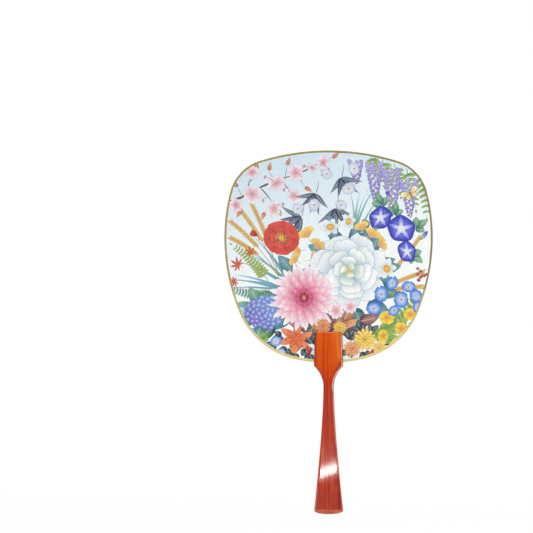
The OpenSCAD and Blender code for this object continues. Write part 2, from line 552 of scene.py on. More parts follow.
def glory(at, size, view):
    """A trumpet flower: a wavy cobalt disc, white at its throat, with five pale rays."""
    outline = disc(40, 5, 0.045)
    lay(outline, at, 18, size, size, (120, 128, 232), cobalt, (30, 32, 130), view=view, radial=True,
        hair=0.9)
    for k in range(5):
        turn = 90 + 72 * k
        lay(pointed_petal, at, turn, size * 0.93, size * 0.13, snow, (104, 112, 226), view=view)
    for k in range(30):
        turn = 12 * k + rng.uniform(-3, 3)
        inner = toward(at, turn, size * 0.4, view)
        outer = toward(at, turn, size * rng.uniform(0.7, 0.9), view)
        line(inner, outer, 0.16, (82, 88, 214), 0.05, 0.6)
    heart(at, size * 0.3, snow, (206, 212, 246), view)
    heart(at, size * 0.12, (252, 246, 170), (250, 240, 190), view)
    stamens(at, 4, size * 0.05, size * 0.1, gold, (250, 232, 120), 0.4)


def dahlia(at, size):
    """Six rings of pointed petals, from almost white outside to deep rose at the heart."""
    rings = [(17, 1.0, (238, 148, 174), (253, 250, 252)), (17, 0.86, (234, 124, 156), (253, 244, 248)),
             (15, 0.7, (230, 98, 136), (252, 228, 237)), (13, 0.54, (218, 76, 118), (249, 200, 216)),
             (11, 0.38, (196, 48, 94), (242, 158, 184)), (8, 0.22, (160, 26, 70), (228, 108, 144))]
    for k, (count, share, root, tip) in enumerate(rings):
        whorl(at, count, size * share, size * (0.125 - 0.008 * k), pointed_petal, root, tip,
              (224, 140, 170), 11 * k, veins=1 if k < 4 else 0, vein=(238, 164, 188), jitter=2.5,
              fade=0.45)
    heart(at, size * 0.075, (236, 190, 80), (176, 50, 80), outline=disc(12, 6, 0.1))


def gardenia(at, size):
    """Rings of broad white petals that turn about the heart, with cool shadows at their feet."""
    rings = [(7, 1.0, 0.38, (112, 164, 202), snow), (6, 0.8, 0.33, (122, 172, 200), (250, 252, 251)),
             (5, 0.6, 0.27, (136, 180, 196), (252, 252, 248)), (4, 0.4, 0.2, (164, 194, 168), snow)]
    for k, (count, share, wide, root, tip) in enumerate(rings):
        whorl(at, count, size * share, size * wide, frilled_petal, root, tip, (104, 146, 176), 24 * k + 8,
              0.1, 5, (146, 184, 210), fade=0.22)
    whorl(at, 3, size * 0.2, size * 0.1, round_petal, (206, 206, 130), snow, (180, 190, 150), 40, 0.25, 0)
    stamens(at, 7, 1.5, 3.5, (206, 178, 80), gold, 0.55)


def camellia(at, size, view):
    """Seven broad red petals round a boss of yellow stamens."""
    whorl(at, 7, size, size * 0.46, round_petal, *crimson, 10, 0.04, 5, (176, 34, 34), view)
    whorl(at, 5, size * 0.66, size * 0.32, round_petal, (160, 26, 28), (232, 86, 64), (140, 22, 24), 30,
          0.04, 3, (180, 36, 36), view)
    stamens(at, 22, size * 0.16, size * 0.3, (244, 206, 90), (250, 226, 96), 0.45, view)
    heart(at, size * 0.12, (224, 170, 50), (246, 210, 90), view)


def narcissus(at, size, view):
    """Six white petals and an orange-edged yellow cup."""
    whorl(at, 6, size, size * 0.3, pointed_petal, (206, 222, 214), snow, (168, 190, 196), 8, 0, 3,
          (190, 208, 206), view)
    lay(disc(24, 8, 0.08), at, 0, size * 0.34, size * 0.34, (250, 214, 80), (238, 140, 40),
        (214, 120, 30), radial=True, view=view, rim=0.2)
    heart(at, size * 0.18, (206, 160, 40), (246, 206, 80), view)
    stamens(at, 5, 0.5, 1.0, gold, (252, 236, 140), 0.3)


def nemophila(at, size, start, view, root=snow, tip=sky):
    """Five rounded petals, white inside and blue outside, with a small dark heart."""
    whorl(at, 5, size, size * 0.5, round_petal, root, tip, deeper(tip, 0.78), start, 0, 3,
          deeper(tip, 0.85), view)
    heart(at, size * 0.16, gold, (226, 190, 70), view)
    stamens(at, 5, size * 0.16, size * 0.24, navy, navy, 0.22, view)


def kerria(at, size, start, view):
    """A yellow flower of five round petals."""
    whorl(at, 5, size, size * 0.5, round_petal, (232, 160, 30), yellow, (214, 160, 40), start, 0, 1,
          (226, 170, 40), view)
    stamens(at, 9, size * 0.16, size * 0.36, (206, 140, 30), (196, 120, 30), 0.26, view)


golden_angle = math.radians(137.508)


def hydrangea(at, size):
    """A ball of small four-petalled florets that turn from sky blue to violet."""
    count = 46
    for k in range(count, 0, -1):
        reach = size * 0.86 * math.sqrt(k / count)
        a = golden_angle * k
        spot = np.array(at) + reach * np.array([math.cos(a), 0.86 * math.sin(a)])
        share = 0.5 + 0.5 * (spot[0] - at[0] + spot[1] - at[1]) / (size * 1.3)
        mix = np.clip(share + rng.uniform(-0.15, 0.15), 0, 1)
        tip = mixed((98, 84, 206), (92, 164, 232), mix)
        root = mixed((238, 240, 252), tip, 0.45)
        view = tipped(heading(at, spot), 1 - 0.35 * reach / size)
        whorl(spot, 4, size * 0.17, size * 0.088, round_petal, root, tip, deeper(tip, 0.74),
              rng.uniform(0, 90), 0, 1, deeper(tip, 0.8), view)
        bead(spot, 0.55, (250, 246, 214))


def wisteria(at, turn, long, wide):
    """A hanging cluster of pea-like florets, broad and pale above, narrow and dark at the tip."""
    end = toward(at, turn, long)
    line(at, end, 0.5, grass, 0.05)
    count = int(long * 1.5)
    for k in range(count, -1, -1):
        s = k / count
        side = math.sin(golden_angle * k)
        reach = wide * (1 - s) ** 0.7 * side
        spot = where(at, turn, long, 1, s * 0.97, reach)
        size = 5.4 * (1 - 0.55 * s) * rng.uniform(0.85, 1.1)
        tint = mixed((172, 156, 230), (98, 70, 188), s)
        out = turn + side * 75 + rng.uniform(-12, 12)
        lay(round_petal, spot, out, size, size * 0.46, (240, 236, 252), tint, deeper(tint, 0.76), rim=0.16)
        lay(round_petal, spot, out + 8, size * 0.55, size * 0.22, (246, 238, 170), (92, 62, 176), rim=0.16)


def ginkgo(at, turn, size, root, tip):
    """A golden fan-shaped leaf with a notch and fine rays."""
    a = np.radians(np.linspace(-62, 62, 25))
    reach = 0.95 + 0.04 * np.cos(9 * a) - 0.3 * np.exp(-((a / 0.09) ** 2))
    outline = np.concatenate([[[0.0, 0.0]], np.stack([reach * np.cos(a), reach * np.sin(a)], 1)])
    lay(outline, at, turn, size, size, root, tip, (176, 116, 36), radial=True, rim=0.2, fade=0.1)
    for k in range(-5, 6):
        far = 0.62 if k == 0 else 0.9
        line(at, toward(at, turn + 11 * k, size * far), 0.2, (190, 128, 40), ink=0.6)
    line(at, toward(at, turn + 180, size * 0.7), 0.5, ochre, 0.12)


def maple(at, turn, size, root, tip):
    """A leaf of seven pointed lobes, each with its rib."""
    a = np.linspace(-148, 148, 85)
    lobe = np.abs((a + 21) % 42 - 21) / 21
    reach = (0.34 + 0.66 * (1 - lobe) ** 1.25) * (0.62 + 0.38 * np.cos(np.radians(a * 0.72)))
    outline = np.stack([reach * np.cos(np.radians(a)), reach * np.sin(np.radians(a))], 1)
    lay(outline, at, turn, size, size, root, tip, deeper(root, 0.75), radial=True, rim=0.2)
    for k in range(-3, 4):
        reach = 0.62 + 0.38 * math.cos(math.radians(42 * k * 0.72))
        line(at, toward(at, turn + 42 * k, size * 0.85 * reach), 0.28, deeper(root, 0.7))
    line(at, toward(at, turn + 180, size * 0.62), 0.5, rust, 0.12)


def ear(start, goal, bend, root, tip):
    """A bowed stalk that ends in an ear of slanting grains."""
    stem(start, goal, 0.8, (176, 156, 96), bend)
    turn, reach = bowed(start, goal, bend)
    for k in range(22):
        s = 0.5 + 0.5 * k / 22
        foot = where(start, turn, reach, 1, s, 0, bend)
        along = turn + math.degrees(math.atan(2 * bend * s))
        side = 1 if k % 2 else -1
        lay(pointed_petal, foot, along + side * 24, 5.6, 1.15, root, tip, (172, 118, 44), rim=0.16)
        line(foot, toward(foot, along + side * 16, 10), 0.16, ochre, 0.06, 0.7)


def berries(at, count, spread, size, fruit):
    """A loose bunch of round berries, each with its light spot."""
    for k in range(count):
        spot = np.array(at) + spread * rng.standard_normal(2) * [1, 0.75]
        line(np.array(at) + [0, spread * 1.6], spot, 0.3, rust, 0.1)
        lay(disc(12), spot, 0, size, size, fruit, deeper(fruit, 0.72), radial=True, hair=0.2)
        bead(spot + [-0.32 * size, 0.34 * size], size * 0.24, (255, 236, 226))


def pompon(at, size, root, tip, edge):
    """A small round flower of many short petals in four rings."""
    for k, share in enumerate((1.0, 0.76, 0.52, 0.3)):
        whorl(at, 14 - 2 * k, size * share, size * 0.15, round_petal, root, tip, edge, 9 * k, 0, 0)
    heart(at, size * 0.1, root)


def tiger_lily(at, size, view):
    """Six curled orange petals with dark spots and long stamens."""
    whorl(at, 6, size, size * 0.24, pointed_petal, (222, 84, 40), (246, 150, 96), (186, 62, 34), 15,
          0.12, 1, (200, 66, 34), view)
    for k in range(54):
        turn = 15 + 60 * (k % 6) + rng.uniform(-9, 9)
        bead(toward(at, turn, size * rng.uniform(0.2, 0.6), view), 0.3, (110, 30, 30))
    stamens(at, 6, size * 0.5, size * 0.62, (236, 190, 110), (120, 44, 30), 0.8, view)


def butterfly(at, turn, size):
    """Two pairs of pale wings with dark borders, a body and two feelers."""
    for side in (-1, 1):
        lay(petal(0.6, 0.35, 14), at, turn + side * 128, size * 0.66, size * 0.25, (250, 206, 90),
            (250, 238, 190), (96, 78, 70), side * -0.12, rim=0.35)
        lay(petal(0.75, 0.3, 14), at, turn + side * 62, size, size * 0.3, (250, 214, 110),
            (252, 244, 214), (84, 70, 70), side * 0.1, rim=0.4)
        for k in (-1, 0, 1):
            far = where(at, turn + side * 62, size, size * 0.3, 0.86, 0.5 * k, side * 0.1)
            line(at, far, 0.2, (120, 96, 76), side * 0.1)
        line(at, toward(at, turn + side * 18, size * 0.62), 0.2, bark, side * 0.14)
    lay(pointed_petal, toward(at, turn + 180, size * 0.36), turn, size * 0.6, size * 0.06, bark)


# The ground of the print: grass in two tufts, and ears of grain on both sides
long_grass((-34, 150), np.linspace(122, 172, 10), 84, 1.5, (84, 150, 150), (132, 186, 220))
long_grass((30, 214), np.linspace(96, 66, 5), 62, 1.2, (110, 160, 130), (150, 194, 214))
for x, z, bend in ((-108, 232, 0.2), (-98, 246, 0.16), (-84, 250, 0.1), (-108, 214, 0.26)):
    ear((-54, 170), (x, z), bend, ochre, (240, 206, 124))
for x, z, bend in ((104, 176, -0.1), (102, 160, -0.14), (100, 214, 0.1)):
    ear((44, 150), (x, z), bend, ochre, (240, 206, 124))

# A cherry bough from the left edge, with blossoms, buds and young leaves
for start, goal, wide, bend in (((-118, 250), (-72, 270), 3.0, 0.08), ((-76, 269), (-34, 284), 2.3, -0.1),
                                ((-38, 283), (-4, 300), 1.6, 0.12), ((-74, 268), (-60, 250), 1.3, -0.1),
                                ((-52, 279), (-40, 262), 1.1, 0.1), ((-90, 262), (-84, 284), 1.4, -0.15)):
    stem(start, goal, wide, bark, bend, (128, 104, 100))
bough = np.array([(-108, 254), (-96, 260), (-84, 265), (-72, 270), (-60, 276), (-48, 280), (-34, 284),
                  (-22, 291), (-8, 298), (-66, 260), (-60, 250), (-44, 270), (-40, 262), (-87, 274)])


def twig(at, wide, ink_colour, bend):
    """A thin stroke to a point from the nearest joint of the bough."""
    line(bough[np.argmin(np.hypot(*(bough - at).T))], at, wide, ink_colour, bend)


for x, z, turn in ((-66, 288, 70), (-96, 244, 230), (-46, 294, 60), (-26, 270, -40), (-56, 246, -70),
                   (-78, 290, 110), (-8, 284, -20), (4, 302, 30), (-70, 242, -120), (-100, 270, 130)):
    twig((x, z), 0.6, bark, 0.1)
    leaf((x, z), turn, 9.5, 2.2, (206, 86, 52), (236, 150, 84), (244, 196, 150), 0.12, 3, lance)
for x, z, size, turn in ((-84, 262, 10.5, 10), (-58, 274, 11, 40), (-36, 286, 9.5, 0), (-60, 246, 9, 60),
                         (-38, 260, 8.5, 20), (-84, 286, 8.5, 30), (-6, 297, 8.5, 50), (-102, 250, 8, 0),
                         (-18, 291, 6.5, 15)):
    cherry((x, z), size, turn, tipped(turn * 3, rng.uniform(0.72, 1)))
for x, z in ((-72, 256), (-49, 268), (-27, 294), (-70, 282), (0, 290), (-50, 252)):
    twig((x, z), 0.55, rust, 0.15)
    lay(round_petal, (x, z + 1), -90, 4.2, 1.5, (206, 84, 108), (246, 178, 192), (176, 60, 88), rim=0.2)

# Wisteria from the top right edge, with its pale leaflets
for k in range(5):
    spray((46 + 13 * k, 306 - 5 * k), (60 + 12 * k, 272 - 9 * k), 0.2 - 0.1 * k, 7, 9, 2.1, grass, lime,
          grass, 58)
for x, z, long, wide in ((50, 298, 44, 5.5), (69, 292, 54, 6.5), (88, 279, 42, 5.5), (30, 300, 26, 4)):
    wisteria((x, z), -88, long, wide)

# Bamboo leaves in grey and navy ink, between the bough and the heart
for x, z, first in ((-14, 262, 250), (-30, 236, 210), (8, 246, 275), (14, 280, 290)):
    for k in range(5):
        turn = first + 26 * (k - 2) + rng.uniform(-5, 5)
        tint = navy if k % 2 else slate
        leaf((x, z), turn, rng.uniform(20, 27), 2.7, tint, mixed((160, 160, 160), tint, 0.55),
             (176, 188, 204), 0.06 * (k - 2), 0, lance)
    line((x, z), (x + 3, z + 16), 0.7, navy, 0.15)

# Pale small flowers among the bamboo
for x, z, size, turn in ((-16, 250, 7.5, 0), (22, 268, 7.5, 30), (-2, 284, 6.5, 10), (28, 290, 7, 50),
                         (14, 250, 6.5, 20), (-34, 246, 6.5, 0)):
    nemophila((x, z), size, turn, tipped(turn * 4, 0.85), (250, 250, 246), (206, 214, 236))

# Morning glories on the right, with three-lobed leaves and curling tendrils
for x, z, turn in ((96, 226, 30), (58, 250, 110), (92, 196, -40), (44, 226, 190), (72, 240, 80)):
    trefoil((x, z), turn, 55, 15, 11, 4.4, (46, 124, 104), (124, 178, 130), (176, 212, 176), 0.05, 4)
for x, z, goal_x, goal_z, bend in ((104, 226, 108, 240, 0.5), (108, 240, 102, 243, 0.9),
                                   (50, 256, 42, 264, -0.5), (42, 264, 46, 268, -0.9)):
    line((x, z), (goal_x, goal_z), 0.5, grass, bend)
glory((80, 224), 15.5, tipped(60, 0.92))
glory((57, 236), 13.5, tipped(140, 0.85))
glory((86, 199), 12, tipped(20, 0.8))
for x, z, turn in ((100, 212, 40), (68, 253, 100)):
    lay(pointed_petal, (x, z), turn, 13, 2.6, (214, 218, 250), cobalt, (38, 40, 150), 0.1)
    lay(pointed_petal, (x, z), turn, 4.5, 1.7, grass, lime)

# Maple leaves and a fern at the left edge
spray((-66, 166), (-106, 206), 0.2, 13, 8, 1.9, (150, 172, 78), lime, grass, 62)
spray((-60, 150), (-108, 158), -0.2, 12, 8, 1.9, (70, 140, 120), (140, 186, 150), teal, 62)
for x, z, turn, size in ((-99, 184, 150, 10.5), (-86, 197, 100, 8.5), (-103, 166, 200, 8.5)):
    maple((x, z), turn, size, (224, 96, 50), (206, 50, 40))

# Broad leaves that frame the large blooms
for x, z, turn, long in ((-44, 146, 172, 34), (-42, 130, 205, 36), (-36, 172, 128, 30), (-14, 124, 250, 32),
                         (10, 176, 135, 30), (46, 160, -18, 34), (50, 178, 12, 30), (34, 206, 48, 28),
                         (6, 214, 108, 26), (44, 144, -38, 32), (28, 136, -62, 30), (-60, 118, 222, 26)):
    tint = (teal, (96, 158, 168)) if (x + z) % 4 < 2 else (pine, (92, 146, 108))
    leaf((x, z), turn, long, long * 0.27, *tint, (150, 196, 196), rng.uniform(-0.12, 0.12), 7)
for turn in (8, 42, 76, 108, 142, 176, 318, 346):
    x, z = toward((22, 178), turn, 26)
    tint = (teal, (84, 148, 164)) if turn % 4 else ((30, 66, 92), (88, 140, 160))
    leaf((x, z), turn + 6, 27, 7.6, *tint, (150, 196, 204), 0.1, 7)
for x, z, turn, long in ((-30, 108, 240, 26), (26, 118, -50, 24), (-4, 124, 100, 26), (16, 122, 60, 24),
                         (34, 122, 10, 22), (-20, 116, 165, 24), (6, 118, 80, 20), (-6, 108, 125, 24),
                         (0, 108, 98, 24), (8, 108, 72, 24), (14, 108, 45, 25), (18, 106, 20, 24)):
    tint = (plum, (170, 104, 92)) if (x + z) % 4 < 2 else ((150, 84, 52), (222, 160, 92))
    leaf((x, z), turn, long, long * 0.3, *tint, (236, 190, 160), rng.uniform(-0.1, 0.1), 6)

# Golden ginkgo leaves between the red and the white flower, and over the white one
for x, z, turn, size in ((-22, 214, 120, 13), (-14, 202, 60, 12), (-30, 200, 190, 11), (-20, 190, 20, 11),
                         (-34, 188, 150, 10), (46, 214, 60, 12), (38, 222, 110, 11), (54, 206, 20, 11)):
    ginkgo((x, z), turn, size, (222, 150, 40), (250, 214, 110))

# Dark ivy and small leaves low at both sides of the handle
for x, z, turn in ((-52, 106, 200), (-46, 92, 240), (-26, 92, 300), (-24, 100, 160), (-58, 96, 170),
                   (-38, 86, 260), (-18, 98, 80), (-20, 86, 230), (22, 104, 60), (20, 92, 300),
                   (46, 110, 40), (64, 98, 330), (40, 88, 280), (34, 112, 100)):
    trefoil((x, z), turn, 50, 12, 9, 3.4, (14, 30, 44), (50, 90, 100), (150, 176, 180), 0.06, 3)

# Hydrangea, lily and small blue flowers low on the left
for turn in (200, 250, 160, 120):
    leaf(toward((-70, 130), turn, 14), turn, 20, 6.5, (48, 122, 110), (120, 176, 140),
         (178, 214, 186), 0, 6)
hydrangea((-70, 132), 24)
tiger_lily((-36, 103), 19, tipped(80, 0.9))
for x, z, size, turn in ((-86, 108, 7, 0), (-58, 100, 6.5, 30), (-70, 94, 6, 50), (-96, 134, 6, 10),
                         (-100, 120, 5.5, 40), (-52, 88, 5.5, 20)):
    nemophila((x, z), size, turn, tipped(turn * 4, 0.85))
spray((-64, 108), (-86, 92), 0.2, 9, 6.5, 1.5, grass, lime, grass, 60)

# Kerria, small blue flowers, pompons and berries low on the right
for k in range(4):
    spray((46 + 5 * k, 112), (80 + 8 * k, 100 + 19 * k), 0.16, 9, 9, 2.3, grass, lime, grass, 55, 0.3)
for x, z, size in ((90, 130, 8), (64, 126, 8.5), (80, 114, 8), (60, 106, 7.5), (74, 98, 6.5), (96, 116, 6.5)):
    kerria((x, z), size, x * 7, tipped(z * 5, 0.85))
for x, z, size in ((80, 146, 9.5), (96, 150, 8), (72, 134, 6.5), (98, 138, 6.5), (88, 160, 7.5)):
    nemophila((x, z), size, x * 7, tipped(z * 5, 0.85), *azure)
pompon((40, 102), 12.5, *sunny)
pompon((26, 92), 9.5, (206, 96, 60), (246, 190, 130), (190, 96, 60))
pompon((56, 92), 8.5, (222, 140, 40), (252, 232, 130), (206, 140, 50))
for x, z in ((100, 172), (-24, 90), (48, 84)):
    berries((x, z), 9, 4.2, 1.7, (206, 48, 44))

# The large blooms and what lies before them
camellia((-52, 214), 20, tipped(70, 0.9))
lay(round_petal, (-78, 216), 150, 9, 3.6, *crimson)
gardenia((22, 178), 41)
dahlia((-27, 148), 39)
narcissus((64, 180), 13, tipped(30, 0.85))
narcissus((2, 226), 12, tipped(100, 0.85))
narcissus((22, 232), 10.5, tipped(160, 0.8))
for x, z, size, turn in ((58, 152, 9, 0), (50, 136, 8.5, 30), (70, 164, 7.5, 50)):
    nemophila((x, z), size, turn, tipped(turn * 3, 0.85), *azure)
for x, z, size, turn in ((8, 134, 9.5, 10), (24, 138, 8, 50)):
    cherry((x, z), size, turn, tipped(turn * 2, 0.9))
pompon((-6, 117), 8.5, (200, 84, 54), (246, 176, 120), (180, 84, 54))
pompon((12, 115), 7.5, *sunny)
butterfly((90, 262), 120, 11)


def kinds(name):
    """One property of all printed shapes, as an array with a row for each."""
    return np.array([shape[name] for shape in prints], float)


def record(mesh, name, kind, domain, values):
    """Stores values on a mesh under a name, for a material to read."""
    field = "vector" if kind == "FLOAT_VECTOR" else "value"
    mesh.attributes.new(name, kind, domain).data.foreach_set(field, values.ravel())


def cut_sheet():
    """Cuts the sheet's front along all outlines, then joins neighbouring triangles that show the same
    shape. Returns its points, its triangles, and for each triangle the printed shape that shows there,
    or -1 where the paper is bare."""
    edge = face_edge()
    border = edge[0] - strip_t * edge[1]
    loops = [border] + [shape["points"] for shape in prints]
    ends = np.cumsum([len(loop) for loop in loops])
    faces = [list(range(end - len(loop), end)) for loop, end in zip(loops, ends)]
    points = [tuple(point) for point in np.concatenate(loops).tolist()]
    cut = delaunay_2d_cdt(points, [], faces, 0, 1e-4, True)
    top = np.array([max(found) if 0 in found else -1 for found in cut[5]])
    mesh = bpy.data.meshes.new("cut_sheet")
    mesh.from_pydata([(x, z, 0) for x, z in cut[0]], [], np.array(cut[2])[top >= 0].tolist())
    top = top[top >= 0] - 1
    record(mesh, "top", "INT", "FACE", top.astype(np.int32))
    side = np.zeros(len(mesh.loops), np.int32)
    mesh.loops.foreach_get("edge_index", side)
    least, most = np.full(len(mesh.edges), len(prints)), np.full(len(mesh.edges), -1)
    np.minimum.at(least, side, np.repeat(top, 3))
    np.maximum.at(most, side, np.repeat(top, 3))
    mesh.edges.foreach_set("use_seam", least != most)
    joined = bmesh.new()
    joined.from_mesh(mesh)
    bmesh.ops.dissolve_limit(joined, angle_limit=0.01, verts=joined.verts[:], edges=joined.edges[:],
                             delimit={"SEAM"})
    bmesh.ops.triangulate(joined, faces=joined.faces[:])
    joined.to_mesh(mesh)
    joined.free()
    flat = np.zeros(3 * len(mesh.vertices))
    mesh.vertices.foreach_get("co", flat)
    triangles = np.zeros(len(mesh.loops), np.int32)
    mesh.loops.foreach_get("vertex_index", triangles)
    top = np.zeros(len(mesh.polygons), np.int32)
    mesh.attributes["top"].data.foreach_get("value", top)
    bpy.data.meshes.remove(mesh)
    return flat.reshape(-1, 3)[:, :2], triangles.reshape(-1, 3), top


def front_sheet_mesh():
    """The printed sheet, closed: the cut front, a wall along its border and a fan of triangles behind.

    Each corner carries its place (s, v) in the shape that it belongs to, and each face its inks. The
    front fills the UV map, and the wall and the back lie small in the map's empty corner.
    """
    flat, triangles, top = cut_sheet()
    used, triangles = np.unique(triangles, return_inverse=True)
    flat = flat[used]
    triangles = triangles.reshape(-1, 3)
    sides = np.sort(np.concatenate([triangles[:, [0, 1]], triangles[:, [1, 2]], triangles[:, [2, 0]]]), 1)
    sides, times = np.unique(sides, axis=0, return_counts=True)
    border = np.unique(sides[times == 1])
    middle = np.array([0, face_z + face_h / 2])
    border = border[np.argsort(np.arctan2(*(flat[border] - middle).T[::-1]))]
    count, rim = len(flat), len(border)
    behind = count + np.arange(rim)
    hub = count + rim
    points = np.concatenate([flat, flat[border], [middle]])
    y = np.full(len(points), front_y)
    y[count:] = front_y + sheet_t
    ahead = np.roll(np.arange(rim), -1)
    wall = np.stack([border, behind, behind[ahead], border[ahead]], 1)
    back = np.stack([np.full(rim, hub), behind[ahead], behind], 1)
    mesh = bpy.data.meshes.new("printed_sheet")
    mesh.from_pydata(np.stack([points[:, 0], y, points[:, 1]], 1) * mm, [],
                     triangles.tolist() + wall.tolist() + back.tolist())
    many = len(triangles)

    corner = flat[triangles.ravel()]
    shape = np.repeat(top, 3)
    at, axes, size = kinds("at")[shape], kinds("axes")[shape], kinds("size")[shape]
    own = np.einsum("nij,nj->ni", axes, corner - at)
    s = own[:, 0] / size[:, 0]
    v = (own[:, 1] - size[:, 0] * size[:, 2] * s * s) / size[:, 1]
    bare = np.repeat(top < 0, 3)
    total = len(mesh.loops)
    place = np.zeros((total, 3))
    place[:3 * many] = np.where(bare[:, None], 0, np.stack([s, v, kinds("radial")[shape]], 1))
    record(mesh, "place", "FLOAT_VECTOR", "CORNER", place)
    for name in ("root", "tip", "make"):
        value = np.zeros((len(mesh.polygons), 3))
        value[:many] = np.where((top < 0)[:, None], 0, kinds(name)[top])
        record(mesh, name, "FLOAT_VECTOR", "FACE", value)
    fade = np.zeros(len(mesh.polygons))
    fade[:many] = kinds("fade")[top]
    record(mesh, "fade", "FLOAT", "FACE", fade)

    uv = np.zeros((total, 2))
    low = np.array([-face_w / 2, face_z])
    margin, spare = 0.004, 0.035
    uv[:3 * many] = margin + (1 - 2 * margin) * (corner - low) / face_h
    small = (flat[border] - middle) / face_h * 0.05 + spare
    outer = (flat[border] - middle) / face_h * 0.06 + spare
    uv[3 * many:3 * many + 4 * rim] = np.stack([outer, small, small[ahead], outer[ahead]], 1).reshape(-1, 2)
    hubs = np.full((rim, 2), spare)
    uv[3 * many + 4 * rim:] = np.stack([hubs, small[ahead], small], 1).reshape(-1, 2)
    mesh.uv_layers.new(name="OFBake").uv.foreach_set("vector", uv.ravel())
    return mesh


def printed_paper():
    """Pearl paper under inks. The ink runs from root to tip along each shape, in fine brushed streaks,
    and pools a little unevenly, as water colour does. Grain and ribs show through it."""
    made, shader, place = material("printed_paper")
    paper, rough, bump = pearl(place)
    own, make = place.attribute("place", 1), place.attribute("make", 1)
    s, v, radial = own.part(0), own.part(1), own.part(2)
    ink, hair, seed = make.part(0), make.part(1), make.part(2)
    reach = place.math("SQRT", s * s + v * v)
    along = s + radial * (reach - s)
    fade, root, tip = place.attribute("fade", 2), place.attribute("root", 1), place.attribute("tip", 1)
    colour = along.step(fade, 1.0).blend(root, tip)
    turn = place.math("ARCTAN2", v, s)
    streak_at = place.spot(along * 1.6, v * 9 + radial * (turn * 7 - v * 9), seed)
    streaks = streak_at.noise(1.0, 3.0, 0.6) - 0.5
    wash = place.noise(0.22, 3.0) - 0.5
    colour = colour.shaded(1 + streaks * hair * 0.55 + wash * 0.22)
    cover = ink * (1.06 + wash * 0.25)
    colour = cover.math("MINIMUM", cover, 1.0).blend(paper, colour)
    rib_line = paper.node("ShaderNodeMix", {"data_type": "RGBA", "blend_type": "MULTIPLY"},
                          {0: ink * 0.35, 6: colour, 7: paper}, 2)
    finish(shader, Base_Color=rib_line, Roughness=rough + ink * 0.05, Normal=bump)
    return made


def placed(name, data):
    """A new object in the scene, with a mesh, a light or a camera as its data."""
    made = bpy.data.objects.new(name, data)
    bpy.context.scene.collection.objects.link(made)
    return made


def piece(name, mesh, node, finish_of_piece):
    """Puts a mesh on the fan in place of a CAD node."""
    mesh.materials.append(finish_of_piece)
    made = placed(name, mesh)
    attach(made, "root")
    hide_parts(node)


piece("printed_sheet", front_sheet_mesh(), "front_sheet", printed_paper())


# Rim strip
# A narrow strip of gold-coloured paper, folded by hand over the edge of both sheets and pasted down.
# It starts and ends at the two sides of the handle's head.

rim_t = 1.3
head_side = 15.96
front_leg = 2.1
back_leg = 2.2
widening = 0.8
fold_depth = 0.32
lower_z = 150
worn_w = 0.12
worn_t = 0.04


def quads(grid):
    """Four-cornered faces between neighbouring rows and columns of a grid of vertex numbers."""
    corners = [grid[:-1, :-1], grid[:-1, 1:], grid[1:, 1:], grid[1:, :-1]]
    return np.stack(corners, -1).reshape(-1, 4).tolist()


def rim_mesh():
    """The folded strip: a closed profile in depth inwards and height, carried along the face's edge.

    The fold is half an ellipse, and the free edge of each leg is worn thinner. The front leg's width
    wavers, and grows from the sides to the bottom.
    """
    points, outwards = face_edge(head_side, 0.75)
    run = np.cumsum(np.hypot(*np.diff(points, axis=0, prepend=points[:1]).T))
    low = np.clip((lower_z - points[:, 1]) / 70, 0, 1)
    front = front_leg + widening * low * low * (3 - 2 * low)
    front = front + 0.1 * np.sin(run / 9) + 0.07 * np.sin(run / 3.7)
    half = rim_t / 2
    columns = [(front, strip_t - half), (front, worn_t - half), (front - worn_w, -half)]
    for a in np.radians(np.linspace(-90, 90, 9)):
        columns.append((fold_depth * (1 - math.cos(a)), half * math.sin(a)))
    columns += [(back_leg - worn_w, half), (back_leg, half - worn_t), (back_leg, half - strip_t)]
    columns += [(strip_t, half - strip_t), (strip_t, strip_t - half)]
    depth = np.stack([np.broadcast_to(deep, len(front)) for deep, y in columns], 1)
    y = np.broadcast_to([y for deep, y in columns], depth.shape)
    place = points[:, None] - depth[..., None] * outwards[:, None]
    xyz = np.stack([place[..., 0], y, place[..., 1]], -1)
    grid = np.arange(depth.size).reshape(depth.shape)
    mesh = bpy.data.meshes.new("gold_rim")
    faces = quads(np.concatenate([grid, grid[:, :1]], 1))
    mesh.from_pydata(xyz.reshape(-1, 3) * mm, [], faces + [grid[0][::-1].tolist(), grid[-1].tolist()])
    mesh.shade_smooth()
    mesh.set_sharp_from_angle(angle=math.radians(50))
    return mesh


def gold_paper():
    """Dull gold paper: short fibres, rubbed paler in patches. The colour is also paler towards the
    bottom of the fan, and lighter on the left than on the right.
    """
    made, shader, place = material("gold_paper")
    fibres = place.noise(1.8, 3.0, 0.7)
    patches = place.noise(0.16, 2.0)
    pale = (lower_z - place.part(2)).step(-40, 60)
    sides = place.part(0).step(-110, 110).blend(seen(158, 138, 54), seen(134, 120, 46))
    colour = pale.blend(sides, seen(216, 202, 136))
    rubbed = patches.step(0.52, 0.75) * 0.4
    colour = rubbed.blend(colour, seen(216, 202, 142)).shaded(0.84 + fibres * 0.28)
    bump = fibres.bump(0.5, 0.05 * mm)
    finish(shader, Base_Color=colour, Roughness=0.42 + fibres * 0.2, Metallic=0.25, Normal=bump)
    return made


piece("gold_rim", rim_mesh(), "rim_strip", gold_paper())


# Handle
# One piece of bamboo, sawn to a broad head, a narrow neck and a flat grip that is steamed to curve
# forward. It is stained red-brown, lacquered, and glued over the bottom of the face last.

